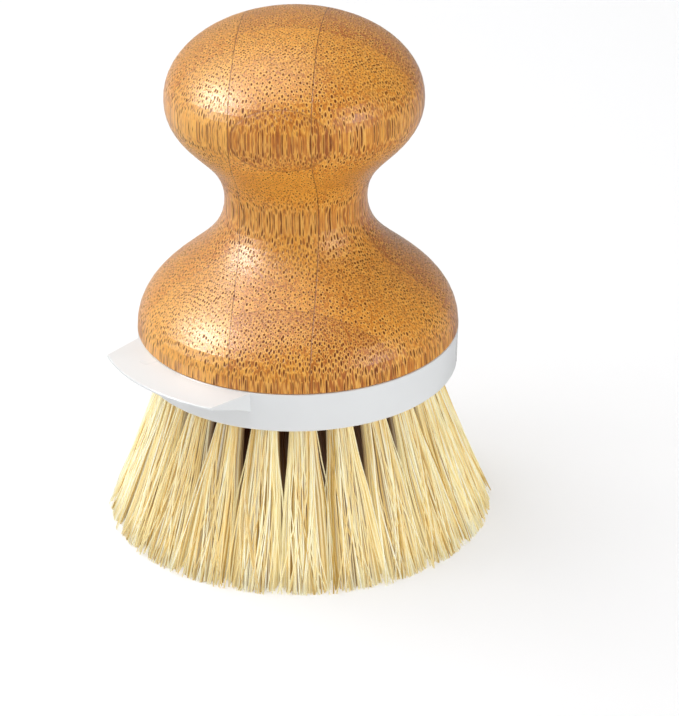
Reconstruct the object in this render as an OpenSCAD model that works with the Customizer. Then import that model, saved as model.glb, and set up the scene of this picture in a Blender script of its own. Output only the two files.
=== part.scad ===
// Round dish brush: a turned bamboo handle, a white ring with a scraper tab round its foot,
// and tufts of plant fibre, each folded over a staple in a drilled hole of the underside.
// The trimmed tips of the tufts stand on z = 0, the axis of the turning is z,
// and the scraper tab points towards -y.

/* [Handle] */
// Diameter of the turned foot, flush with the ring
foot_d = 70; // [68:0.5:78]
// Height of the turned bamboo above the ring
handle_h = 70.5; // [68:0.1:78]
// Diameter of the neck at its narrowest line
neck_d = 30.6; // [26:0.2:36]
// Height of the narrowest line of the neck above the ring
neck_z = 30.1; // [27:0.1:33]
// Radius of the neck's hollow, seen from the side
neck_round = 14.4; // [11:0.2:18]
// Diameter of the knob at its widest line
knob_d = 55; // [48:0.2:62]
// Height of the widest line of the knob above the ring
knob_z = 52.6; // [50:0.1:56]
// Radius of the knob's side at its widest line, seen from the side
knob_round = 13; // [9:0.2:15]
// Fullness of the crown: length of the level tangent at the top
crown_full = 14.5; // [9:0.2:18]
// Fullness of the foot: length of the upright tangent where its curve starts
foot_full = 14; // [10:0.2:16]
// Broken edge of the bamboo where it meets the ring
edge_break = 0.35; // [0.2:0.05:0.6]

/* [Scraper ring] */
// Height of the ring
ring_h = 8.9; // [8.5:0.1:11]
// Thickness of the ring's wall
ring_wall = 2.6; // [2:0.1:3]
// Taper of the ring's outside from its top down to its lower edge
ring_draft = 0.25; // [0.1:0.05:0.5]
// Radius of the ring's lower outer edge
ring_round = 0.7; // [0.4:0.05:1]
// Radial clearance between the ring and the turned-down foot
ring_fit = 0.1; // [0.05:0.05:0.2]
// Height of the snap bead above the ring's lower edge
bead_z = 5; // [4.6:0.1:5.6]
// Reach of the snap bead into the foot
bead_reach = 0.6; // [0.4:0.05:0.8]
// Height of the snap bead at its root
bead_h = 1.6; // [1.2:0.1:2]

/* [Scraper tab] */
// Reach of the tab beyond the ring
tab_reach = 8.1; // [6:0.1:11]
// Width of the tab where it leaves the ring
tab_w = 36.5; // [24:0.5:44]
// How much narrower the tab is at its scraping edge
tab_narrow = 2; // [0:0.5:8]
// Thickness of the tab where it grows out of the ring
tab_root = 3.7; // [3:0.1:5]
// Thickness of the tab's scraping edge
tab_edge = 0.5; // [0.4:0.05:0.8]
// Fall of the tab's upper face from the ring to the scraping edge
tab_fall = 0.6; // [0.2:0.05:1]
// Radius of the hollow under the tab where it meets the ring
tab_fillet = 1.2; // [0.6:0.1:2]

/* [Tufts] */
// Free length of the tufts below the ring
tuft_len = 35; // [28:0.5:40]
// Outward lean of the outer row, in degrees
outer_lean = 18; // [14:0.5:21]
// Number of tufts in the outer row
outer_tufts = 22; // [20:1:25]
// Number of tufts in the second row
second_tufts = 16; // [13:1:16]
// Number of tufts in the third row
third_tufts = 10; // [8:1:10]
// Number of tufts in the row round the centre
inner_tufts = 5; // [4:1:5]
// Angle of the first tuft of the outer row
first_tuft = 8.7; // [0:0.1:16]
// Diameter of a tuft inside its hole
tuft_d = 4.6; // [4:0.1:4.8]
// Radius of a tuft just outside its hole, where the fibres spring apart
mouth_r = 2.7; // [2.5:0.05:2.9]
// Air between neighbouring tufts where they are full
tip_gap = 0.5; // [0.3:0.1:1.5]
// Share of its free length over which a tuft widens until it fills its place in the row
fill_share = 0.45; // [0.3:0.05:1]
// Depth of the grooves between the fibre strands, as a share of the tuft's radius
groove = 0.18; // [0.1:0.01:0.24]

/* [Tuft holes] */
// Radial clearance of a tuft in its hole
hole_fit = 0.1; // [0.05:0.05:0.2]
// Depth of the tuft holes along their axes
hole_depth = 9; // [8:0.5:11]
// Wood left between the outer holes and the side of the turned-down foot
rim_land = 3.6; // [2.4:0.1:4.4]
// How far the drilled face lies above the ring's lower edge
face_recess = 1.5; // [0.5:0.1:2.2]

/* [Staples] */
// Thickness of the flat staple wire
staple_t = 0.4; // [0.3:0.05:0.6]
// Height of the flat staple wire
staple_h = 1.8; // [1.4:0.1:2.4]
// How far each end of a staple bites into the wood
staple_bite = 0.5; // [0.3:0.05:0.6]
// Thickness of the fibres folded over the staple
fold_t = 1; // [0.8:0.1:1.4]
// Clearance between a staple and the fibres round it
staple_fit = 0.1; // [0.05:0.05:0.2]

/* [Hidden] */
$fn = 96;
// Steps in each long curve of the turned profile, and in each small round
curve_steps = 18;
round_steps = 5;
// Sides of a tuft: every second one lies in a groove between strands
tuft_sides = 14;

foot_r = foot_d / 2;
ring_top = tuft_len + ring_h;
face_z = tuft_len + face_recess;
spigot_r = foot_r - ring_wall - ring_fit;
hole_r = tuft_d / 2 + hole_fit;

row_names = ["outer", "second", "third", "inner", "centre"];
tufts_in = [outer_tufts, second_tufts, third_tufts, inner_tufts, 1];
last_row = len(tufts_in) - 1;
outer_row_r = spigot_r - rim_land - hole_r / cos(outer_lean);
// Distance between two rows at the centre of the tips, which is least next to the axis
tip_step = outer_row_r / last_row + face_z * tan(outer_lean / last_row);
root_end = hole_depth - hole_fit;
staple_z = root_end - fold_t - staple_h / 2;

function tuft_name(row, k) = str("tuft_", row_names[row], "_", k < 9 ? "0" : "", k + 1);

// Radius of a row of holes at the drilled face, and the lean of its tufts
function row_r(row) = outer_row_r * (1 - row / last_row);
function lean(row) = outer_lean * (1 - row / last_row);
function tuft_angle(row, k) = first_tuft + 360 * k / tufts_in[row];

function bezier(p, t) =
    pow(1 - t, 3) * p[0] + 3 * t * pow(1 - t, 2) * p[1] + 3 * t * t * (1 - t) * p[2] + pow(t, 3) * p[3];
function curve(p) = [for (k = [1:curve_steps]) bezier(p, k / curve_steps)];
function arc(centre, r, from, to) =
    [for (k = [0:round_steps]) let (a = from + (to - from) * k / round_steps) centre + r * [cos(a), sin(a)]];

// Length of the upright tangent that gives a curve its radius where it passes a line of
// the section that lies reach from the curve's other end
function tangent(reach, radius) = sqrt(2 / 3 * reach * radius);

// Section of the turned bamboo above the ring, with z measured from the ring's top. Each curve
// has the same radius as the next where they meet, so the turned surface has no ridge.
function turned_curve() =
    let (
        foot = [foot_r, edge_break],
        neck = [neck_d / 2, neck_z],
        knob = [knob_d / 2, knob_z],
        crown = [0, handle_h],
        neck_low = [0, tangent(foot.x - neck.x, neck_round)],
        neck_high = [0, tangent(knob.x - neck.x, neck_round)],
        knob_low = [0, tangent(knob.x - neck.x, knob_round)],
        knob_high = [0, tangent(knob.x - crown_full, knob_round)]
    )
    concat(
        [foot],
        curve([foot, foot + [0, foot_full], neck - neck_low, neck]),
        curve([neck, neck + neck_high, knob - knob_low, knob]),
        curve([knob, knob + knob_high, crown + [crown_full, 0], crown])
    );

// Snap bead as points going up: the groove in the foot is the same shape with clearance round it
function bead_points(wall_r, reach, half) =
    let (mid = tuft_len + bead_z)
    [[wall_r, mid - half], [wall_r - reach, mid - half / 2], [wall_r - reach, mid + half / 2], [wall_r, mid + half]];

module handle() {
    shoulder = [foot_r - edge_break, ring_top];
    color("#d39b56")
    difference() {
        rotate_extrude()
            polygon(concat(
                [[0, face_z], [spigot_r - edge_break, face_z], [spigot_r, face_z + edge_break]],
                bead_points(spigot_r, bead_reach, bead_h / 2 + ring_fit),
                [[spigot_r, ring_top], shoulder],
                [for (p = turned_curve()) p + [0, ring_top]]
            ));
        at_each_hole() {
            translate([0, 0, -face_recess])
                cylinder(r = hole_r, h = face_recess + hole_depth);
            staple();
        }
    }
}

// Places its children at a tuft's hole, with z running up the hole from the drilled face
module at_hole(row, k) {
    rotate([0, 0, tuft_angle(row, k)])
        translate([row_r(row), 0, face_z])
            rotate([0, -lean(row), 0])
                children();
}

module at_each_hole() {
    for (row = [0:last_row], k = [0:tufts_in[row] - 1])
        at_hole(row, k) children();
}

// Lies along its row, across the middle of the hole
module staple(clear = 0) {
    length = 2 * (hole_r + staple_bite);
    translate([0, 0, staple_z])
        cube([staple_t + 2 * clear, length + 2 * clear, staple_h + 2 * clear], center = true);
}

module staples() {
    color("#c9c2ae") at_each_hole() staple();
}

module scraper_ring() {
    color("#f4f4f2") {
        union() {
            ring_band();
            intersection() {
                tab_wedge();
                translate([0, 0, tuft_len])
                    linear_extrude(ring_h)
                        polygon(tab_plan());
            }
        }
    }
}

// Plan of the tab: its sides come together a little towards the scraping edge
function tab_plan() =
    let (
        root_y = sqrt(pow(foot_r, 2) - pow(tab_w / 2, 2)),
        far_y = foot_r + tab_reach + 1,
        slope = tab_narrow / 2 / tab_reach,
        root_half = tab_w / 2 + slope * root_y / 2,
        far_half = tab_w / 2 - slope * (far_y - root_y)
    )
    [[-root_half, -root_y / 2], [-far_half, -far_y], [far_half, -far_y], [root_half, -root_y / 2]];

module ring_band() {
    inner_r = spigot_r + ring_fit;
    low_r = foot_r - ring_draft;
    lead_in = ring_round / 2;
    rotate_extrude()
        polygon(concat(
            arc([low_r - ring_round, tuft_len + ring_round], ring_round, -90, 0),
            [[foot_r, ring_top - edge_break / 2], [foot_r - edge_break / 2, ring_top]],
            [[inner_r + edge_break, ring_top], [inner_r, ring_top - edge_break]],
            [for (p = bead_points(inner_r, bead_reach, bead_h / 2)) [p[0], 2 * (tuft_len + bead_z) - p[1]]],
            arc([inner_r + lead_in, tuft_len + lead_in], lead_in, 180, 270)
        ));
}

// The tab's wedge turned all the way round; scraper_ring keeps the width of the tab
module tab_wedge() {
    root_r = foot_r - ring_wall / 2;
    edge_r = foot_r + tab_reach;
    edge_top = ring_top - tab_fall;
    root_low = ring_top - tab_root;
    rotate_extrude()
        polygon(concat(
            [[root_r, ring_top - edge_break], [foot_r, ring_top - edge_break / 2]],
            [[edge_r - tab_edge / 4, edge_top], [edge_r, edge_top - tab_edge / 4]],
            [[edge_r, edge_top - tab_edge]],
            curve([[foot_r + 2 * tab_fillet, root_low + tab_fillet / 2],
                   [foot_r + tab_fillet, root_low],
                   [foot_r, root_low - tab_fillet / 2],
                   [foot_r - ring_draft, root_low - tab_fillet]]),
            [[root_r, root_low - tab_fillet]]
        ));
}

// One closed ring of points round a tuft. s runs along the tuft's axis from the mouth of its hole:
// negative in the hole, and up to run at the tips. The rings in the hole are square to the axis,
// and the last one lies level in the plane of the tips. out and side are half the tuft's width
// across its row and along it, and depth is how deep its grooves are as a share of that.
function tuft_ring(row, s, run, out, side, depth) =
    let (tilt = s <= 0 ? lean(row) : lean(row) * (1 - s / run))
    [for (k = [0:tuft_sides - 1])
        let (
            a = 360 * k / tuft_sides,
            cut = 1 - depth * (k % 2),
            x = out * cut * cos(a)
        )
        [
            row_r(row) + s * sin(lean(row)) + x * cos(tilt),
            side * cut * sin(a),
            face_z - s * cos(lean(row)) + x * sin(tilt)
        ]];

// Half the width of a tuft along its row where it fills its place between the tufts beside it,
// with out half its width across the row
function full_side(row, s, out) =
    let (
        half = 180 / max(tufts_in[row], 2),
        centre_r = row_r(row) + s * sin(lean(row)),
        room = centre_r * sin(half) - tip_gap / 2
    )
    row == last_row ? out : sqrt(room * room - pow(out * sin(half), 2)) / cos(half);

module tuft(row, k) {
    run = face_z / cos(lean(row));
    root_r = tuft_d / 2;
    tip_out = (tip_step - tip_gap) / 2;
    swell = 2 * face_recess;
    rings = [
        tuft_ring(row, -root_end, run, root_r - fold_t / 2, root_r - fold_t / 2, 0),
        tuft_ring(row, fold_t / 2 - root_end, run, root_r, root_r, 0),
        tuft_ring(row, 0, run, root_r, root_r, 0),
        for (f = [0, 0.2, 0.45, 0.7, 1])
            let (
                s = swell + (run - swell) * f,
                out = mouth_r + (tip_out - mouth_r) * f * f,
                side = mouth_r + (full_side(row, s, out) - mouth_r) * min(1, f / fill_share)
            )
            tuft_ring(row, s, run, out, side, groove)
    ];
    last = len(rings) - 1;
    color(row % 2 == 0 ? "#ecd9a3" : "#e2cb90")
    difference() {
        rotate([0, 0, tuft_angle(row, k)])
            polyhedron(
                points = [for (r = rings) each r],
                faces = concat(
                    [[for (j = [0:tuft_sides - 1]) j]],
                    [for (r = [0:last - 1], j = [0:tuft_sides - 1]) each
                        let (a = r * tuft_sides + j, b = r * tuft_sides + (j + 1) % tuft_sides)
                        [[a, a + tuft_sides, b], [b, a + tuft_sides, b + tuft_sides]]],
                    [[for (j = [tuft_sides - 1:-1:0]) last * tuft_sides + j]]
                )
            );
        at_hole(row, k) staple(staple_fit);
    }
}

handle();
scraper_ring();
staples();
for (row = [0:last_row], k = [0:tufts_in[row] - 1])
    tuft(row, k);
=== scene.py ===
import math
from types import SimpleNamespace

import bpy
import numpy as np
from mathutils import Matrix, Vector


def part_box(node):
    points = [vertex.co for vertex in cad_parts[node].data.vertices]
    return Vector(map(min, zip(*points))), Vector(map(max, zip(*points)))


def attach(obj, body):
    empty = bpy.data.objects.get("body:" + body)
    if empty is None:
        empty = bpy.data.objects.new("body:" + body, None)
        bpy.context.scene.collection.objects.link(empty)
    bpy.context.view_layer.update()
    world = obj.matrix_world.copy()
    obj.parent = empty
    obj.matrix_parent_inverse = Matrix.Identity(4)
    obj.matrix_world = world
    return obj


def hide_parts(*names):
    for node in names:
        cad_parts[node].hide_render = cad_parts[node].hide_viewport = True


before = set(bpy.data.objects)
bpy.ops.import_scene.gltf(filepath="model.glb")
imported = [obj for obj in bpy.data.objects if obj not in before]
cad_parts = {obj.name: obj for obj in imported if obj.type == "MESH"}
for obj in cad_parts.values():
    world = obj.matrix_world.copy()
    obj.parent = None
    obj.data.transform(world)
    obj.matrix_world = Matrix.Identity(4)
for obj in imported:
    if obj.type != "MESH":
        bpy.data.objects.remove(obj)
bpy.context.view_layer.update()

MM = 0.001
IMAGE_WIDTH = 679
IMAGE_HEIGHT = 716
WHITE = (1, 1, 1, 1)
BLACK = (0, 0, 0, 1)

_, ring_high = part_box("scraper_ring")
handle_low, handle_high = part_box("handle")
RING_TOP = ring_high[2]
HANDLE_TOP = handle_high[2]
# The drilled underside of the handle, where the tufts come out
DRILLED_FACE = handle_low[2]


def srgb(red, green, blue):
    """A colour as a paint card shows it, 0 to 255, as the linear values that shaders use."""
    def linear(value):
        value /= 255
        return value / 12.92 if value <= 0.04045 else ((value + 0.055) / 1.055) ** 2.4
    return (linear(red), linear(green), linear(blue), 1.0)


# Node trees

# A Mix node has sockets of one name for each kind of value, so its colour sockets go by number
MIX_FIRST_COLOUR = 6
MIX_SECOND_COLOUR = 7
MIX_COLOUR_RESULT = 2


class Tree:
    """Short calls for building the nodes of a material, a world or a shader group."""

    def __init__(self, node_tree):
        self.tree = node_tree

    def node(self, kind, **settings):
        made = self.tree.nodes.new(kind)
        for name, value in settings.items():
            setattr(made, name, value)
        return made

    def feed(self, value, socket):
        """Links another node's output to socket, or sets a plain value on it."""
        if isinstance(value, bpy.types.NodeSocket):
            self.tree.links.new(value, socket)
        else:
            socket.default_value = value

    def fill(self, made, *values):
        """Feeds the first inputs of a node in order, and returns its outputs."""
        for value, socket in zip(values, made.inputs):
            self.feed(value, socket)
        return made.outputs

    def math(self, operation, *values):
        return self.fill(self.node("ShaderNodeMath", operation=operation), *values)[0]

    def vector_math(self, operation, *values):
        given = self.fill(self.node("ShaderNodeVectorMath", operation=operation), *values)
        return given["Value" if operation in ("DOT_PRODUCT", "LENGTH") else "Vector"]

    def vector(self, x, y, z):
        return self.fill(self.node("ShaderNodeCombineXYZ"), x, y, z)["Vector"]

    def split(self, vector):
        return self.fill(self.node("ShaderNodeSeparateXYZ"), vector)

    def remap(self, value, low, high, to_low=0.0, to_high=1.0, smooth=True):
        """Carries a value from the range low to high over to the range to_low to to_high."""
        kind = "SMOOTHSTEP" if smooth else "LINEAR"
        made = self.node("ShaderNodeMapRange", interpolation_type=kind)
        return self.fill(made, value, low, high, to_low, to_high)["Result"]

    def mix(self, factor, first, second):
        made = self.node("ShaderNodeMix", data_type="RGBA")
        self.feed(factor, made.inputs["Factor"])
        self.feed(first, made.inputs[MIX_FIRST_COLOUR])
        self.feed(second, made.inputs[MIX_SECOND_COLOUR])
        return made.outputs[MIX_COLOUR_RESULT]

    def mix_shaders(self, factor, first, second):
        return self.fill(self.node("ShaderNodeMixShader"), factor, first, second)["Shader"]

    def ramp(self, value, *stops):
        made = self.node("ShaderNodeValToRGB")
        elements = made.color_ramp.elements
        while len(elements) < len(stops):
            elements.new(0.5)
        for element, (place, colour) in zip(elements, stops):
            element.position = place
            element.color = colour
        self.feed(value, made.inputs["Fac"])
        return made.outputs["Color"]

    def noise(self, vector, scale, detail=2.0, roughness=0.5, output="Fac"):
        made = self.node("ShaderNodeTexNoise")
        self.feed(vector, made.inputs["Vector"])
        self.feed(scale, made.inputs["Scale"])
        made.inputs["Detail"].default_value = detail
        made.inputs["Roughness"].default_value = roughness
        return made.outputs[output]

    def stretch(self, vector, x, y, z, turn=0.0):
        """Scales a place, and turns it about z."""
        made = self.node("ShaderNodeMapping")
        self.feed(vector, made.inputs["Vector"])
        made.inputs["Scale"].default_value = (x, y, z)
        made.inputs["Rotation"].default_value = (0, 0, turn)
        return made.outputs["Vector"]

    def place(self):
        return self.node("ShaderNodeTexCoord").outputs["Object"]

    def attribute(self, name):
        return self.node("ShaderNodeAttribute", attribute_name=name).outputs["Fac"]

    def bump(self, height, distance, strength):
        made = self.node("ShaderNodeBump")
        made.inputs["Strength"].default_value = strength
        made.inputs["Distance"].default_value = distance
        self.feed(height, made.inputs["Height"])
        return made.outputs["Normal"]

    def group(self, tree, **inputs):
        made = self.node("ShaderNodeGroup")
        made.node_tree = tree
        for name, value in inputs.items():
            self.feed(value, made.inputs[name.replace("_", " ")])
        return made.outputs


FLOAT = "NodeSocketFloat"
VECTOR = "NodeSocketVector"


def new_group(name, inputs, outputs):
    """A shader group with named sockets. Returns its Tree and what it is given and gives out."""
    tree = bpy.data.node_groups.new(name, "ShaderNodeTree")
    for socket_name, kind, value in inputs:
        socket = tree.interface.new_socket(socket_name, in_out="INPUT", socket_type=kind)
        if value is not None:
            socket.default_value = value
    for socket_name, kind in outputs:
        tree.interface.new_socket(socket_name, in_out="OUTPUT", socket_type=kind)
    build = Tree(tree)
    return build, build.node("NodeGroupInput").outputs, build.node("NodeGroupOutput").inputs


# Effects that several finishes share

# How much coarser the clouds in the grain are than its lines
CLOUD_COARSENESS = 16.0


def make_fine_grain():
    """Hair-fine lines along the grain, for bamboo, plant fibre and drawn wire."""
    build, given, out = new_group(
        "fine grain",
        [("Place", VECTOR, None), ("Lines per metre", FLOAT, 4000.0), ("Length", FLOAT, 40.0)],
        [("Lines", FLOAT), ("Cloud", FLOAT)],
    )
    along = build.math("DIVIDE", 1.0, given["Length"])
    drawn_out = build.vector_math("MULTIPLY", given["Place"], build.vector(1.0, 1.0, along))
    lines = build.noise(drawn_out, given["Lines per metre"], detail=3.0, roughness=0.6)
    build.feed(lines, out["Lines"])
    coarse = build.math("DIVIDE", given["Lines per metre"], CLOUD_COARSENESS)
    build.feed(build.noise(drawn_out, coarse), out["Cloud"])
    return build.tree


def make_mottle():
    """Cloudy unevenness of a surface, with tiny specks in it."""
    build, given, out = new_group(
        "mottle",
        [
            ("Place", VECTOR, None),
            ("Clouds per metre", FLOAT, 80.0),
            ("Specks per metre", FLOAT, 2500.0),
        ],
        [("Clouds", FLOAT), ("Specks", FLOAT)],
    )
    clouds = build.noise(given["Place"], given["Clouds per metre"], detail=3.0, roughness=0.55)
    build.feed(clouds, out["Clouds"])
    specks = build.noise(given["Place"], given["Specks per metre"], detail=1.0)
    build.feed(specks, out["Specks"])
    return build.tree


# How far the vessels wander from straight lines, how many bends a metre has, and how much slower
# they wander along the grain than across it
VESSEL_WANDER = 2.0 * MM
VESSEL_BENDS_PER_METRE = 70.0
VESSEL_ALONG_GRAIN = 0.12
# How far the vessels are from standing in a square grid
VESSEL_DISORDER = 0.5
# The least and the most that a vessel's size is multiplied by, for each vessel and along it
VESSEL_SIZES = (0.7, 1.3)
VESSEL_SWELLING = (0.6, 1.15)


def make_vascular_bundles():
    """The dark vessels of bamboo: columns up the grain that show as dots on end grain and as
    streaks on upright faces, each in a paler sheath. Size is their radius as a share of Pitch."""
    build, given, out = new_group(
        "vascular bundles",
        [
            ("Place", VECTOR, None),
            ("Pitch", FLOAT, 1.0 * MM),
            ("Size", FLOAT, 0.2),
            ("Streak length", FLOAT, 5 * MM),
        ],
        [("Vessel", FLOAT), ("Sheath", FLOAT)],
    )
    slow = build.stretch(given["Place"], 1, 1, VESSEL_ALONG_GRAIN)
    wander = build.noise(slow, VESSEL_BENDS_PER_METRE, detail=1.0, output="Color")
    wander = build.vector_math("SUBTRACT", wander, (0.5, 0.5, 0.5))
    wander = build.vector_math("MULTIPLY", wander, (VESSEL_WANDER, VESSEL_WANDER, 0))
    bent = build.vector_math("ADD", given["Place"], wander)
    per_metre = build.math("DIVIDE", 1.0, given["Pitch"])
    cells = build.node("ShaderNodeTexVoronoi", voronoi_dimensions="2D", feature="F1")
    build.feed(bent, cells.inputs["Vector"])
    build.feed(per_metre, cells.inputs["Scale"])
    cells.inputs["Randomness"].default_value = VESSEL_DISORDER
    chance = build.fill(build.node("ShaderNodeSeparateColor"), cells.outputs["Color"])["Red"]

    # Each vessel has a size of its own, and swells and fades along its length
    run = build.math("DIVIDE", 1.0, given["Streak length"])
    lengthwise = build.vector_math("MULTIPLY", bent, build.vector(per_metre, per_metre, run))
    fade = build.noise(lengthwise, 1.0, detail=1.0)
    own_size = build.remap(chance, 0, 1, *VESSEL_SIZES, smooth=False)
    swelling = build.remap(fade, 0.3, 0.6, *VESSEL_SWELLING)
    size = build.math("MULTIPLY", given["Size"], own_size)
    size = build.math("MULTIPLY", size, swelling)

    # How far from the middle of its vessel a point is, in shares of the vessel's radius
    distance = build.math("DIVIDE", cells.outputs["Distance"], size)
    core = build.remap(distance, 0.7, 1.15, 1.0, 0.0)
    depth = build.math("MULTIPLY", core, build.remap(fade, 0.32, 0.52, 0.3, 1.0))
    build.feed(depth, out["Vessel"])
    inner_edge = build.remap(distance, 1.0, 1.35)
    outer_edge = build.remap(distance, 1.5, 2.3, 1.0, 0.0)
    build.feed(build.math("MULTIPLY", inner_edge, outer_edge), out["Sheath"])
    return build.tree


# The strips that the handle is glued up from, in the plane across the grain
STRIP_WIDTH = 17.1 * MM
STRIP_DEPTH = 19.4 * MM
STRIP_TURN = math.radians(-41.8)
STRIP_SHIFT = 10.8 * MM
STRIP_FRONT = 25.5 * MM
SIDE_STAGGER = 12.9 * MM
SEAM_WIDTH = 0.13 * MM
# The seams aren't quite straight: how far they stray, how many bends a metre has, and how much
# slower they bend along the grain
SEAM_WOBBLE = 0.7 * MM
SEAM_BENDS_PER_METRE = 45.0
SEAM_ALONG_GRAIN = 0.4
# Seams between the layers show less than the seams between the columns
LAYER_SEAM = 0.45
# The left, middle and right column are -1, 0 and 1, and the outer two reach out to the side
LEFTMOST = -0.4
RIGHTMOST = 1.4
# Where the tones start, and what they gain: with each column to the right, in every second layer,
# with each layer to the back, and by chance
FIRST_TONE = 0.3
COLUMN_TONE = 0.16
DARK_LAYER_TONE = 0.34
BACK_TONE = 0.2
CHANCE_TONE = 0.12


def make_laminated_strips():
    """Which of three columns of glued bamboo strips a point lies in: a tone for each strip, the
    dark glue seams, and how far through its strip the point is, from pith side to skin side."""
    build, given, out = new_group(
        "laminated strips",
        [("Place", VECTOR, None)],
        [("Tone", FLOAT), ("Seam", FLOAT), ("Skin side", FLOAT)],
    )
    turned = build.split(build.stretch(given["Place"], 1, 1, 1, STRIP_TURN))
    slow = build.stretch(given["Place"], 1, 1, SEAM_ALONG_GRAIN)
    wobble = build.noise(slow, SEAM_BENDS_PER_METRE, detail=1.0)
    wobble = build.math("MULTIPLY", build.math("SUBTRACT", wobble, 0.5), SEAM_WOBBLE)
    across = build.math("ADD", build.math("ADD", turned["X"], STRIP_SHIFT), wobble)
    column = build.math("MAXIMUM", build.math("DIVIDE", across, STRIP_WIDTH), LEFTMOST)
    column = build.math("MINIMUM", column, RIGHTMOST)
    column_number = build.math("FLOOR", column)
    left_side = build.math("LESS_THAN", column_number, -0.5)
    deep = build.math("ADD", turned["Y"], STRIP_FRONT)
    deep = build.math("ADD", deep, build.math("MULTIPLY", left_side, -SIDE_STAGGER))
    deep = build.math("ADD", deep, wobble)
    layer = build.math("DIVIDE", deep, STRIP_DEPTH)
    layer_number = build.math("FLOOR", layer)

    staggered = build.math("ABSOLUTE", build.math("ADD", layer_number, left_side))
    dark_layer = build.math("MODULO", staggered, 2.0)
    chance = build.node("ShaderNodeTexWhiteNoise", noise_dimensions="2D")
    build.feed(build.vector(column_number, layer_number, 0.0), chance.inputs["Vector"])
    tone = build.math("MULTIPLY_ADD", column_number, COLUMN_TONE, FIRST_TONE)
    tone = build.math("MULTIPLY_ADD", dark_layer, DARK_LAYER_TONE, tone)
    tone = build.math("MULTIPLY_ADD", build.math("MAXIMUM", layer_number, 0), BACK_TONE, tone)
    tone = build.math("MULTIPLY_ADD", chance.outputs["Value"], CHANCE_TONE, tone)
    build.feed(tone, out["Tone"])

    def seam(ratio, size):
        off = build.math("ABSOLUTE", build.math("SUBTRACT", ratio, build.math("ROUND", ratio)))
        off = build.math("MULTIPLY", off, size)
        return build.remap(off, SEAM_WIDTH / 2, SEAM_WIDTH, 1.0, 0.0)

    layer_seam = build.math("MULTIPLY", seam(layer, STRIP_DEPTH), LAYER_SEAM)
    build.feed(build.math("MAXIMUM", seam(column, STRIP_WIDTH), layer_seam), out["Seam"])
    build.feed(build.math("FRACT", layer), out["Skin side"])
    return build.tree


fine_grain = make_fine_grain()
mottle = make_mottle()
vascular_bundles = make_vascular_bundles()
laminated_strips = make_laminated_strips()


# Finishes

def new_finish(name):
    """A material with a Principled shader. Returns the material, its Tree and the shader."""
    material = bpy.data.materials.new(name)
    material.use_nodes = True
    return material, Tree(material.node_tree), material.node_tree.nodes["Principled BSDF"]


def put_on_surface(material, build, shader):
    """Shows another shader in place of the plain Principled one."""
    build.feed(shader, material.node_tree.nodes["Material Output"].inputs["Surface"])


# Bamboo under varnish, its strips from the lightest to the darkest
LIGHT_STRIP = srgb(247, 181, 80)
MIDDLE_STRIP = srgb(227, 146, 42)
DARK_STRIP = srgb(176, 90, 8)
BAMBOO_CLOUD = srgb(194, 112, 24)
LIGHT_GRAIN = srgb(252, 184, 68)
DARK_GRAIN = srgb(146, 74, 12)
PALE_SHEATH = srgb(254, 194, 92)
VESSEL_BROWN = srgb(102, 45, 5)
GLUE_BROWN = srgb(104, 48, 10)

# Vessels on the skin side and on the pith side of a strip
FINE_PITCH = 0.7 * MM
FINE_SIZE = 0.25
FINE_STREAK = 8 * MM
COARSE_PITCH = 0.88 * MM
COARSE_SIZE = 0.205
COARSE_STREAK = 12 * MM

BAMBOO_RELIEF = 0.08 * MM


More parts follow.
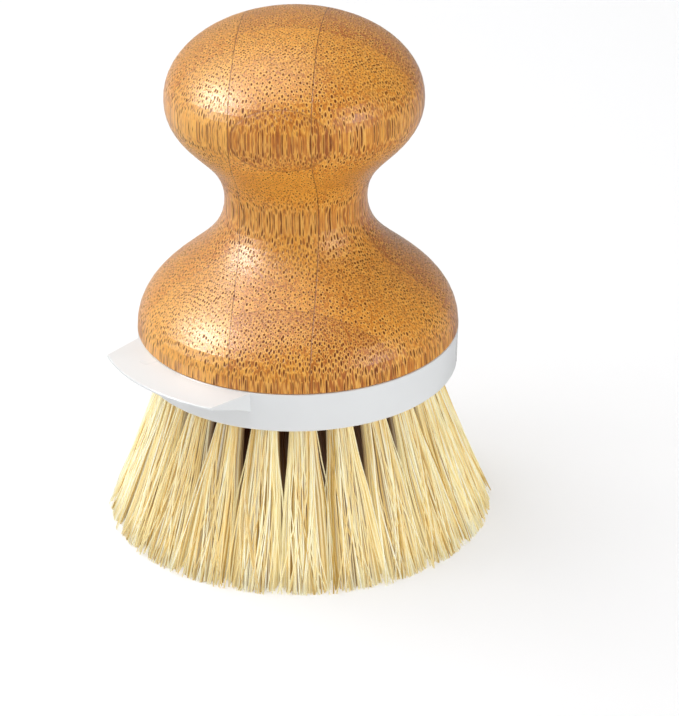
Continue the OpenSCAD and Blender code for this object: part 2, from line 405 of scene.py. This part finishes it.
def varnished_bamboo():
    """Turned bamboo: grain, vessels and strips in the wood, and a thin satin varnish on it that
    sinks into the open vessels."""
    material, build, shader = new_finish("varnished bamboo")
    place = build.place()
    strips = build.group(laminated_strips, Place=place)
    grain = build.group(fine_grain, Place=place, Lines_per_metre=2300.0, Length=40.0)
    handled = build.group(mottle, Place=place, Clouds_per_metre=55.0, Specks_per_metre=5200.0)

    # A vessel looks narrower where it is cut along its length, on the upright faces
    facing_up = build.split(build.node("ShaderNodeNewGeometry").outputs["Normal"])["Z"]
    opening = build.remap(facing_up, 0.1, 0.6, 0.84, 1.0)
    fine = build.group(
        vascular_bundles, Place=place, Pitch=FINE_PITCH,
        Size=build.math("MULTIPLY", opening, FINE_SIZE), Streak_length=FINE_STREAK,
    )
    coarse = build.group(
        vascular_bundles, Place=place, Pitch=COARSE_PITCH,
        Size=build.math("MULTIPLY", opening, COARSE_SIZE), Streak_length=COARSE_STREAK,
    )

    # Vessels are coarse on the pith side of a strip and small, close and faint on its skin side
    fine_share = build.remap(strips["Skin side"], 0.2, 0.65)
    coarse_share = build.math("SUBTRACT", 1.0, fine_share)
    faint = build.remap(strips["Skin side"], 0.75, 1.0, 1.0, 0.6)
    fine_share = build.math("MULTIPLY", fine_share, faint)

    def both(name):
        fine_part = build.math("MULTIPLY", fine[name], fine_share)
        coarse_part = build.math("MULTIPLY", coarse[name], coarse_share)
        return build.math("ADD", fine_part, coarse_part)

    vessel = both("Vessel")
    sheath = both("Sheath")

    wood = build.ramp(strips["Tone"], (0.0, LIGHT_STRIP), (0.45, MIDDLE_STRIP), (1.0, DARK_STRIP))
    for share, colour in (
        (build.remap(handled["Clouds"], 0.42, 0.7, 0.0, 0.5), BAMBOO_CLOUD),
        (build.remap(grain["Lines"], 0.5, 0.62, 0.0, 0.6), LIGHT_GRAIN),
        (build.remap(grain["Lines"], 0.5, 0.38, 0.0, 0.7), DARK_GRAIN),
        (build.math("MULTIPLY", sheath, 0.7), PALE_SHEATH),
        (build.math("MULTIPLY", vessel, 0.92), VESSEL_BROWN),
        (build.math("MULTIPLY", strips["Seam"], 0.65), GLUE_BROWN),
    ):
        wood = build.mix(share, wood, colour)
    build.feed(wood, shader.inputs["Base Color"])

    rough = build.remap(grain["Lines"], 0.3, 0.7, 0.3, 0.42, smooth=False)
    rough = build.math("ADD", rough, build.math("MULTIPLY", vessel, 0.15))
    build.feed(rough, shader.inputs["Roughness"])
    sealed = build.remap(vessel, 0.0, 1.0, 1.0, 0.0, smooth=False)
    shader.inputs["Specular IOR Level"].default_value = 0.3
    build.feed(sealed, shader.inputs["Coat Weight"])
    shader.inputs["Coat Roughness"].default_value = 0.4

    relief = build.math("SUBTRACT", build.math("MULTIPLY", grain["Lines"], 0.8), vessel)
    relief = build.math("SUBTRACT", relief, build.math("MULTIPLY", strips["Seam"], 0.5))
    bumped = build.bump(relief, BAMBOO_RELIEF, 0.9)
    build.feed(bumped, shader.inputs["Normal"])
    build.feed(bumped, shader.inputs["Coat Normal"])
    return material


PLASTIC_WHITE = srgb(231, 233, 234)
PLASTIC_SHADE = srgb(228, 230, 231)
PLASTIC_RELIEF = 0.01 * MM


def moulded_plastic():
    """White plastic with the slightly uneven gloss of a moulding."""
    material, build, shader = new_finish("white moulded plastic")
    handled = build.group(
        mottle, Place=build.place(), Clouds_per_metre=60.0, Specks_per_metre=3000.0,
    )
    white = build.mix(build.remap(handled["Clouds"], 0.3, 0.75), PLASTIC_WHITE, PLASTIC_SHADE)
    build.feed(white, shader.inputs["Base Color"])
    rough = build.remap(handled["Clouds"], 0.3, 0.7, 0.27, 0.3, smooth=False)
    build.feed(rough, shader.inputs["Roughness"])
    height = build.math("ADD", handled["Specks"], handled["Clouds"])
    build.feed(build.bump(height, PLASTIC_RELIEF, 0.4), shader.inputs["Normal"])
    return material


# Fibres from the darkest to the palest, what they turn to with stain, and their painted shade
# colour
DARK_FIBRE = srgb(214, 184, 106)
STRAW_FIBRE = srgb(248, 232, 178)
LIGHT_FIBRE = srgb(255, 250, 220)
PALE_FIBRE = srgb(255, 255, 242)
STAINED_FIBRE = srgb(250, 228, 156)
SHADED_FIBRE = srgb(142, 66, 8)
FIBRE_RELIEF = 0.03 * MM
# Painted light: the fibres glow in their own colour, in place of light going round a tuft
PAINTED_FIBRE_GLOW = 0.18
# The share of light that comes out on the far side of a fibre, and what a shadow lets past
LIGHT_THROUGH = 0.4
PAST_FIBRE = (0.5, 0.47, 0.37, 1)


def plant_fibre():
    """Pale plant fibre, with painted shade and a painted glow. Each fibre brings its tone, how
    much shade is painted on it for standing deep in the head or inside its tuft, and the run along
    it, from the hole to the tip."""
    material, build, shader = new_finish("plant fibre")
    grain = build.group(fine_grain, Place=build.place(), Lines_per_metre=5000.0, Length=12.0)
    straw = build.ramp(
        build.attribute("strand_tone"),
        (0.0, DARK_FIBRE), (0.25, STRAW_FIBRE), (0.6, LIGHT_FIBRE), (1.0, PALE_FIBRE),
    )
    straw = build.mix(build.remap(grain["Cloud"], 0.45, 0.75, 0.0, 0.3), straw, STAINED_FIBRE)
    # Painted shade: fibres deep in the head, inside a tuft and on its inward side darken towards
    # SHADED_FIBRE, most near the root, and there they also reflect and glow less
    root_shade = build.remap(build.attribute("strand_run"), 0.1, 0.95, 1.0, 0.3)
    shade = build.math("MULTIPLY", build.attribute("strand_painted_shade"), root_shade)
    straw = build.mix(shade, straw, SHADED_FIBRE)
    lit = build.math("SUBTRACT", 1.0, shade)
    build.feed(straw, shader.inputs["Base Color"])
    rough = build.remap(grain["Lines"], 0.2, 0.8, 0.38, 0.58, smooth=False)
    build.feed(rough, shader.inputs["Roughness"])
    build.feed(build.math("MULTIPLY", lit, 0.4), shader.inputs["Specular IOR Level"])
    bumped = build.bump(grain["Lines"], FIBRE_RELIEF, 0.6)
    build.feed(bumped, shader.inputs["Normal"])
    # Painted light: the fibres glow in their own colour where no shade is painted
    build.feed(straw, shader.inputs["Emission Color"])
    build.feed(build.math("MULTIPLY", lit, PAINTED_FIBRE_GLOW), shader.inputs["Emission Strength"])

    # A fibre is thin enough for some light to come through it and to reach the fibres behind
    through = build.node("ShaderNodeBsdfTranslucent")
    build.feed(straw, through.inputs["Color"])
    build.feed(bumped, through.inputs["Normal"])
    body = build.mix_shaders(LIGHT_THROUGH, shader.outputs["BSDF"], through.outputs["BSDF"])
    clear = build.node("ShaderNodeBsdfTransparent")
    build.feed(build.mix(shade, PAST_FIBRE, BLACK), clear.inputs["Color"])
    in_shadow = build.node("ShaderNodeLightPath").outputs["Is Shadow Ray"]
    put_on_surface(material, build, build.mix_shaders(in_shadow, body, clear.outputs["BSDF"]))
    return material


WIRE_SHADE = srgb(190, 184, 168)
WIRE_LIGHT = srgb(214, 210, 198)
WIRE_RELIEF = 0.01 * MM


def flattened_wire():
    """Flat steel wire with drawing lines along it."""
    material, build, shader = new_finish("flattened staple wire")
    grain = build.group(fine_grain, Place=build.place(), Lines_per_metre=6000.0, Length=8.0)
    steel = build.mix(build.remap(grain["Lines"], 0.3, 0.7), WIRE_SHADE, WIRE_LIGHT)
    build.feed(steel, shader.inputs["Base Color"])
    shader.inputs["Metallic"].default_value = 1.0
    rough = build.remap(grain["Lines"], 0.2, 0.8, 0.3, 0.45, smooth=False)
    build.feed(rough, shader.inputs["Roughness"])
    build.feed(build.bump(grain["Lines"], WIRE_RELIEF, 0.5), shader.inputs["Normal"])
    return material


def finish_node(name, material):
    """Gives a CAD node its finish."""
    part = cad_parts[name]
    part.data.materials.clear()
    part.data.materials.append(material)


# Tufts

# Radius of a tuft's fibres in its hole and where they spring apart, and the way between the two
TUFT_ROOT = 2.25 * MM
TUFT_MOUTH = 2.6 * MM
SWELL_LENGTH = 3 * MM
# How far the fibres reach up into the hole
ROOT_SHOWN = 1.5 * MM
# Share of its length over which a tuft widens until it fills its place in the row
FILL_SHARE = 0.45
# How much a tuft squares up towards its tip, and how far out a fibre may stand
SQUARENESS = 0.16
FURTHEST_OUT = 1.03

FIBRE_RADIUS = 0.155 * MM
FIBRE_SIDES = 4
OUTER_FIBRES = 400
INNER_FIBRES = 160
# Rings of corners along a fibre
OUTER_RINGS = 7
INNER_RINGS = 6
# How much shade is painted on a row's fibres for standing deep in the head, from 0 to 1
OUTER_ROW_SHADE = 0.2
INNER_ROW_SHADE = 1.0

# Below 0.5 the fibres crowd towards the outside of the tuft
CROWDING = 0.42
GOLDEN_ANGLE = math.pi * (3 - math.sqrt(5))
# How far a fibre goes round its tuft and moves in or out towards its tip, and how far out it ends
TWIST = 0.06
END_SPREAD = 0.025
FURTHEST_END = 1.02
# How far a fibre bows and ripples, and the radians that its ripple runs through
BOW = 0.1 * MM
RIPPLE = 0.025 * MM
RIPPLE_RADIANS = 7
UNEVEN_CUT = 0.12 * MM
# The least and the most of a fibre's half width in FIBRE_RADIUS, and of its thickness in widths
WIDTHS = (0.72, 1.2)
FLATNESSES = (0.6, 1.0)
MIDDLE_TONE = 0.54
TONE_SPREAD = 0.32

# Stray fibres: their part of the tuft, how far round from outward they stand, how they twist,
# how far out they are at the root and at the tip, and how much longer they are
STRAY_SHARE = 0.08
STRAY_ANGLES = (0.3, 1.4)
STRAY_TWISTS = (-1.6, 0.5)
STRAY_ROOTS = (0.94, 1.0)
STRAY_ENDS = (1.0, 1.6)
STRAY_CUT = 0.8 * MM

# Painted shade on the fibres, from the outside of a tuft to its inside and on its inward side
OUTSIDE = 0.96
INWARD_SHADE = 3.0
DARKEST_INSIDE = 0.85
FACING_SHADE = 0.7

# How far from its ends a tuft's tips and its root are measured, and the least distance from the
# head's axis at which a tuft has an outward side
TIP_DEPTH = 0.01 * MM
ROOT_DEPTH = 5 * MM
LEAST_REACH = 1 * MM
SEED = 7


def tuft_shape(name):
    """A tuft as its CAD node has it: the centre of its tips and of its root, the directions out
    from the head and along the row, and half its width in each at the tips."""
    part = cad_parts[name]
    points = np.empty(len(part.data.vertices) * 3)
    part.data.vertices.foreach_get("co", points)
    points = points.reshape(-1, 3)
    tips = points[points[:, 2] < TIP_DEPTH]
    roots = points[points[:, 2] > points[:, 2].max() - ROOT_DEPTH]
    tip = tips.mean(0)
    out = np.array([tip[0], tip[1], 0.0])
    reach = np.linalg.norm(out)
    out = out / reach if reach > LEAST_REACH else np.array([1.0, 0.0, 0.0])
    side = np.array([-out[1], out[0], 0.0])
    return SimpleNamespace(
        tip=tip, root=roots.mean(0), out=out, side=side,
        half_out=np.abs((tips - tip) @ out).max(),
        half_side=np.abs((tips - tip) @ side).max(),
    )


def strew_fibres(count, depth, random):
    """The fibres of one tuft. share is how far from the tuft's axis a fibre stands and end_share
    how far at its tip, angle is which way, 0 being outward, and twist is what it gains."""
    order = np.arange(count)
    share = ((order + 0.5) / count) ** CROWDING
    angle = order * GOLDEN_ANGLE + random.uniform(0, 2 * math.pi)
    twist = random.normal(0, TWIST, count)
    end_share = np.clip(share + random.normal(0, END_SPREAD, count), 0, FURTHEST_END)

    # Some fibres stand on the outside of the tuft and cross it or lean over the next one
    stray = random.random(count) < STRAY_SHARE
    strays = stray.sum()
    hand = random.choice((-1, 1), strays)
    angle[stray] = hand * random.uniform(*STRAY_ANGLES, strays)
    twist[stray] = hand * random.uniform(*STRAY_TWISTS, strays)
    share[stray] = random.uniform(*STRAY_ROOTS, strays)
    end_share[stray] = random.uniform(*STRAY_ENDS, strays)

    bow = random.normal(0, BOW, (count, 2))
    ripple = random.normal(0, RIPPLE, (count, 2))
    phase = random.uniform(0, 2 * math.pi, count)
    cut = np.abs(random.normal(0, UNEVEN_CUT, count))
    cut[stray] += random.uniform(0, STRAY_CUT, strays)
    half_width = FIBRE_RADIUS * random.uniform(*WIDTHS, count)
    flat = random.uniform(*FLATNESSES, count)
    turn = random.uniform(0, math.pi, count)
    tone = np.clip(random.normal(MIDDLE_TONE, TONE_SPREAD, count), 0, 1)

    # Painted shade, kept as deep: least on a tuft's outward side, most on the fibres inside it
    inside_shade = np.clip((OUTSIDE - share) * INWARD_SHADE, 0, DARKEST_INSIDE)
    facing = share * np.cos(angle)
    shaded = depth - (1 - FACING_SHADE * depth) * facing
    deep = np.clip(np.maximum(shaded, inside_shade), 0, 1)
    return SimpleNamespace(
        share=share, end_share=end_share, angle=angle, twist=twist, bow=bow, ripple=ripple,
        phase=phase, cut=cut, half_width=half_width, flat=flat, turn=turn, tone=tone, deep=deep,
    )


def tuft_widths(tuft, axis, height):
    """Half the width of a tuft out from the head and along its row, at each height."""
    drop = np.clip((DRILLED_FACE - height) / SWELL_LENGTH, 0, 1)
    full_height = DRILLED_FACE - SWELL_LENGTH
    flare = np.clip((full_height - height) / full_height, 0, 1)
    mouth = TUFT_ROOT + (TUFT_MOUTH - TUFT_ROOT) * drop
    width_out = mouth + (tuft.half_out - TUFT_MOUTH) * flare ** 2
    reach_tip = max(np.hypot(tuft.tip[0], tuft.tip[1]), LEAST_REACH)
    reach_face = np.hypot(*(tuft.tip + DRILLED_FACE * axis)[:2])
    full_side = tuft.half_side * (reach_face + (reach_tip - reach_face) * flare) / reach_tip
    width_side = mouth + (full_side - TUFT_MOUTH) * np.minimum(flare / FILL_SHARE, 1)
    return width_out, width_side


def fibre_lines(tuft, fibres, run):
    """The middle line of each fibre, as points at the shares of its length that run gives."""
    axis = (tuft.root - tuft.tip) / (tuft.root - tuft.tip)[2]
    top = DRILLED_FACE + ROOT_SHOWN
    height = top + (fibres.cut[:, None] - top) * run
    width_out, width_side = tuft_widths(tuft, axis, height)

    share = fibres.share[:, None] + (fibres.end_share - fibres.share)[:, None] * run
    angle = fibres.angle[:, None] + fibres.twist[:, None] * run
    square = 1 + SQUARENESS * run * np.sin(2 * angle) ** 2
    go_out = np.minimum(share * square * np.cos(angle), FURTHEST_OUT) * width_out
    go_side = share * square * np.sin(angle) * width_side

    wave = np.sin(RIPPLE_RADIANS * run + fibres.phase[:, None]) * run
    shake = np.sin(math.pi * run)[:, None] * fibres.bow[:, None, :]
    shake = shake + wave[:, :, None] * fibres.ripple[:, None, :]
    line = tuft.tip + height[:, :, None] * axis
    line = line + (go_out[:, :, None] + shake[:, :, :1]) * tuft.out
    return line + (go_side[:, :, None] + shake[:, :, 1:]) * tuft.side


def fibre_corners(lines, tuft, fibres):
    """Corners of a flattened ring round each point of the fibres' middle lines. No corner goes
    below the plane that the brush stands on."""
    around = np.linspace(0, 2 * math.pi, FIBRE_SIDES, endpoint=False)
    narrow = np.cos(around) * fibres.flat[:, None]
    wide = np.sin(around)
    cosine, sine = np.cos(fibres.turn)[:, None], np.sin(fibres.turn)[:, None]
    ring_out = narrow * cosine - wide * sine
    ring_side = narrow * sine + wide * cosine
    ring = ring_out[:, None, :, None] * tuft.out + ring_side[:, None, :, None] * tuft.side
    corners = lines[:, :, None, :] + fibres.half_width[:, None, None, None] * ring
    corners[..., 2] = np.maximum(corners[..., 2], 0)
    return corners


def fibre_faces(count, rings):
    """The faces of the fibres, as numbers of their corners: their walls and their ends."""
    sides = FIBRE_SIDES
    first = (np.arange(count) * rings * sides)[:, None, None]
    low = first + (np.arange(rings - 1) * sides)[None, :, None]
    here = np.arange(sides)
    after = (here + 1) % sides
    walls = np.stack([low + here, low + sides + here, low + sides + after, low + after], 3)
    tips = first[:, 0, :] + (rings - 1) * sides + here[::-1]
    roots = first[:, 0, :] + here
    return walls.reshape(-1, 4).tolist(), tips.tolist() + roots.tolist()


def fibre_bundle(name, tuft_name, count, rings, depth, random):
    """One tuft as a mesh of separate trimmed fibres, spread over the room of its CAD node."""
    tuft = tuft_shape(tuft_name)
    fibres = strew_fibres(count, depth, random)
    run = np.linspace(0, 1, rings)
    corners = fibre_corners(fibre_lines(tuft, fibres, run), tuft, fibres)
    walls, ends = fibre_faces(count, rings)

    mesh = bpy.data.meshes.new(name)
    mesh.from_pydata(corners.reshape(-1, 3).tolist(), [], walls + ends)
    mesh.polygons.foreach_set("use_smooth", [True] * len(walls) + [False] * len(ends))
    # The fibres carry their tone, the shade painted on them and the run along them
    for label, values in (
        ("strand_tone", np.repeat(fibres.tone, rings * FIBRE_SIDES)),
        ("strand_painted_shade", np.repeat(fibres.deep, rings * FIBRE_SIDES)),
        ("strand_run", np.tile(np.repeat(run, FIBRE_SIDES), count)),
    ):
        attribute = mesh.attributes.new(label, "FLOAT", "POINT")
        attribute.data.foreach_set("value", values.astype(np.float32))
    mesh.update()
    piece = bpy.data.objects.new(name, mesh)
    bpy.context.scene.collection.objects.link(piece)
    return piece


def dress_tufts(material):
    """Shows fibres in place of each plain tuft."""
    random = np.random.default_rng(SEED)
    for tuft in sorted(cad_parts):
        if not tuft.startswith("tuft_"):
            continue
        name = tuft.replace("tuft_", "fibres_")
        if "_outer_" in tuft:
            piece = fibre_bundle(name, tuft, OUTER_FIBRES, OUTER_RINGS, OUTER_ROW_SHADE, random)
        else:
            piece = fibre_bundle(name, tuft, INNER_FIBRES, INNER_RINGS, INNER_ROW_SHADE, random)
        piece.data.materials.append(material)
        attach(piece, "root")
        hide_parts(tuft)


finish_node("handle", varnished_bamboo())
finish_node("scraper_ring", moulded_plastic())
finish_node("staples", flattened_wire())
dress_tufts(plant_fibre())


# Studio

CAMERA_AZIMUTH = 48.5
CAMERA_ELEVATION = 25.8
CAMERA_ROLL = -0.98
CAMERA_DISTANCE = 0.6
FOCAL_PIXELS = 2745
AIM_PIXEL = (298.1, 321.8)
SENSOR_WIDTH = 36
NEAREST_SEEN = 0.01

FLOOR_HALF = 3.0
PAPER_WHITE = srgb(198, 198, 199)
PAPER_LIGHT = srgb(202, 202, 203)
# Light from below, as paper throws back in a light tent, and what it gains far from the brush
FLOOR_GLOW = 0.39
FAR_GLOW = 0.5
# Where that gain starts and where it is full, measured from the brush in metres
FAR_START = 0.4
FAR_FULL = 1.4
WORLD_STRENGTH = 0.26
# How much darker the floor in front of the brush and the world look in its varnish, and how far
# behind the brush the floor is back to its full light, in metres
FRONT_DIMMED = 0.8
WORLD_DIMMED = 0.7
FULL_BEHIND = 0.15


def seen_from(right, away, up):
    """A direction given as the camera sees it: to the right, away from it and up."""
    turn = math.radians(CAMERA_AZIMUTH)
    across = Vector((math.cos(turn), math.sin(turn), 0))
    ahead = Vector((-math.sin(turn), math.cos(turn), 0))
    return across * right + ahead * away + Vector((0, 0, up))


def lay_floor():
    """White paper to stand on. It keeps the shadow of the brush."""
    mesh = bpy.data.meshes.new("floor")
    corners = [(-1, -1), (1, -1), (1, 1), (-1, 1)]
    mesh.from_pydata([(x * FLOOR_HALF, y * FLOOR_HALF, 0) for x, y in corners], [], [(0, 1, 2, 3)])
    floor = bpy.data.objects.new("floor", mesh)
    bpy.context.scene.collection.objects.link(floor)
    material, build, shader = new_finish("studio paper")
    place = build.place()
    paper = build.group(mottle, Place=place, Clouds_per_metre=3.0, Specks_per_metre=900.0)
    white = build.mix(paper["Clouds"], PAPER_WHITE, PAPER_LIGHT)
    path = build.node("ShaderNodeLightPath").outputs
    mirrored = path["Is Glossy Ray"]
    behind = build.vector_math("DOT_PRODUCT", place, seen_from(0, 1, 0))
    in_front = build.remap(behind, 0.0, FULL_BEHIND, FRONT_DIMMED, 0.0)
    dim = build.math("MULTIPLY", mirrored, in_front)
    build.feed(build.mix(dim, white, BLACK), shader.inputs["Base Color"])
    shader.inputs["Roughness"].default_value = 0.9
    shader.inputs["Specular IOR Level"].default_value = 0.1
    reach = build.vector_math("LENGTH", place)
    far = build.remap(reach, FAR_START, FAR_FULL, 0.0, FAR_GLOW)
    glow = build.math("MULTIPLY_ADD", mirrored, -FLOOR_GLOW, FLOOR_GLOW)
    glow = build.math("MULTIPLY_ADD", path["Is Camera Ray"], far, glow)
    shader.inputs["Emission Color"].default_value = WHITE
    build.feed(glow, shader.inputs["Emission Strength"])

    # From below the camera looks through the paper at the underside of the brush
    clear = build.node("ShaderNodeBsdfTransparent").outputs["BSDF"]
    back_side = build.node("ShaderNodeNewGeometry").outputs["Backfacing"]
    below = build.math("MULTIPLY", path["Is Camera Ray"], back_side)
    sheet = build.mix_shaders(below, shader.outputs["BSDF"], clear)
    put_on_surface(material, build, sheet)
    mesh.materials.append(material)


def light_world():
    """A weak even light from all round, which the camera sees as white."""
    world = bpy.data.worlds.new("studio")
    bpy.context.scene.world = world
    world.use_nodes = True
    shader = world.node_tree.nodes["Background"]
    shader.inputs["Color"].default_value = WHITE
    build = Tree(world.node_tree)
    path = build.node("ShaderNodeLightPath").outputs
    weaker = -WORLD_DIMMED * WORLD_STRENGTH
    strength = build.math("MULTIPLY_ADD", path["Is Glossy Ray"], weaker, WORLD_STRENGTH)
    strength = build.math("MAXIMUM", strength, path["Is Camera Ray"])
    build.feed(strength, shader.inputs["Strength"])


def soft_box(name, direction, distance, width, height, power,
             lights=True, mirrored=True, shape="RECTANGLE"):
    """A studio lamp that looks at the middle of the brush from a direction. One that only
    lights leaves no highlight, and one that is only mirrored is a white card."""
    lamp = bpy.data.lights.new(name, "AREA")
    lamp.shape = shape
    lamp.size = width
    lamp.size_y = height
    lamp.energy = power
    holder = bpy.data.objects.new(name, lamp)
    middle = Vector((0, 0, HANDLE_TOP / 2))
    holder.location = middle + Vector(direction).normalized() * distance
    holder.rotation_euler = (middle - holder.location).to_track_quat("-Z", "Y").to_euler()
    holder.visible_diffuse = holder.visible_transmission = lights
    holder.visible_glossy = mirrored
    bpy.context.scene.collection.objects.link(holder)


def light_studio():
    """Sets up the lamps, with sizes and distances in metres and powers in watts. The cards make
    the highlights."""
    soft_box("top soft box", seen_from(-0.34, -0.08, 0.93), distance=1.5,
             width=1.7, height=1.7, power=19.5)
    soft_box("left soft box", seen_from(-0.9, -0.11, 0.35), distance=0.8,
             width=0.36, height=0.34, power=1.1, mirrored=False)
    soft_box("left card", seen_from(-0.83, -0.15, 0.52), distance=0.8,
             width=0.34, height=0.34, power=7.0, lights=False, shape="DISK")
    soft_box("right soft box", seen_from(0.705, -0.493, 0.25), distance=0.9,
             width=0.24, height=0.3, power=1.7)
    soft_box("front soft box", seen_from(0.7, -0.7, 0.2), distance=1.3,
             width=1.1, height=0.5, power=2.8, mirrored=False)
    soft_box("far left soft box", seen_from(-0.65, 0.6, 0.5), distance=1.5,
             width=1.1, height=0.9, power=8.0, mirrored=False)
    soft_box("far left card", seen_from(-0.65, 0.6, 0.5), distance=1.5,
             width=1.1, height=0.9, power=3.4, lights=False)
    soft_box("back card", seen_from(0, 1, 0.25), distance=2.0,
             width=4.0, height=1.6, power=5.0, lights=False)


def place_camera():
    """Stands the camera so that the middle of the ring's top falls on AIM_PIXEL."""
    target = Vector((0, 0, RING_TOP))
    rise = math.radians(CAMERA_ELEVATION)
    ahead = seen_from(0, math.cos(rise), -math.sin(rise))
    level = seen_from(1, 0, 0)
    upright = level.cross(ahead)
    roll = math.radians(CAMERA_ROLL)
    right = level * math.cos(roll) + upright * math.sin(roll)
    up = upright * math.cos(roll) - level * math.sin(roll)
    aside = (AIM_PIXEL[0] - IMAGE_WIDTH / 2) / FOCAL_PIXELS
    above = (IMAGE_HEIGHT / 2 - AIM_PIXEL[1]) / FOCAL_PIXELS
    look = (ahead - right * aside - up * above).normalized()
    right = (right - look * right.dot(look)).normalized()
    up = right.cross(look)

    lens = bpy.data.cameras.new("camera")
    lens.sensor_fit = "HORIZONTAL"
    lens.sensor_width = SENSOR_WIDTH
    lens.lens = SENSOR_WIDTH * FOCAL_PIXELS / IMAGE_WIDTH
    lens.clip_start = NEAREST_SEEN
    camera = bpy.data.objects.new("camera", lens)
    turned = Matrix((right, up, -look)).transposed().to_4x4()
    camera.matrix_world = Matrix.Translation(target - ahead * CAMERA_DISTANCE) @ turned
    bpy.context.scene.collection.objects.link(camera)
    bpy.context.scene.camera = camera


lay_floor()
light_world()
light_studio()
place_camera()
bpy.context.scene.view_settings.view_transform = "Standard"
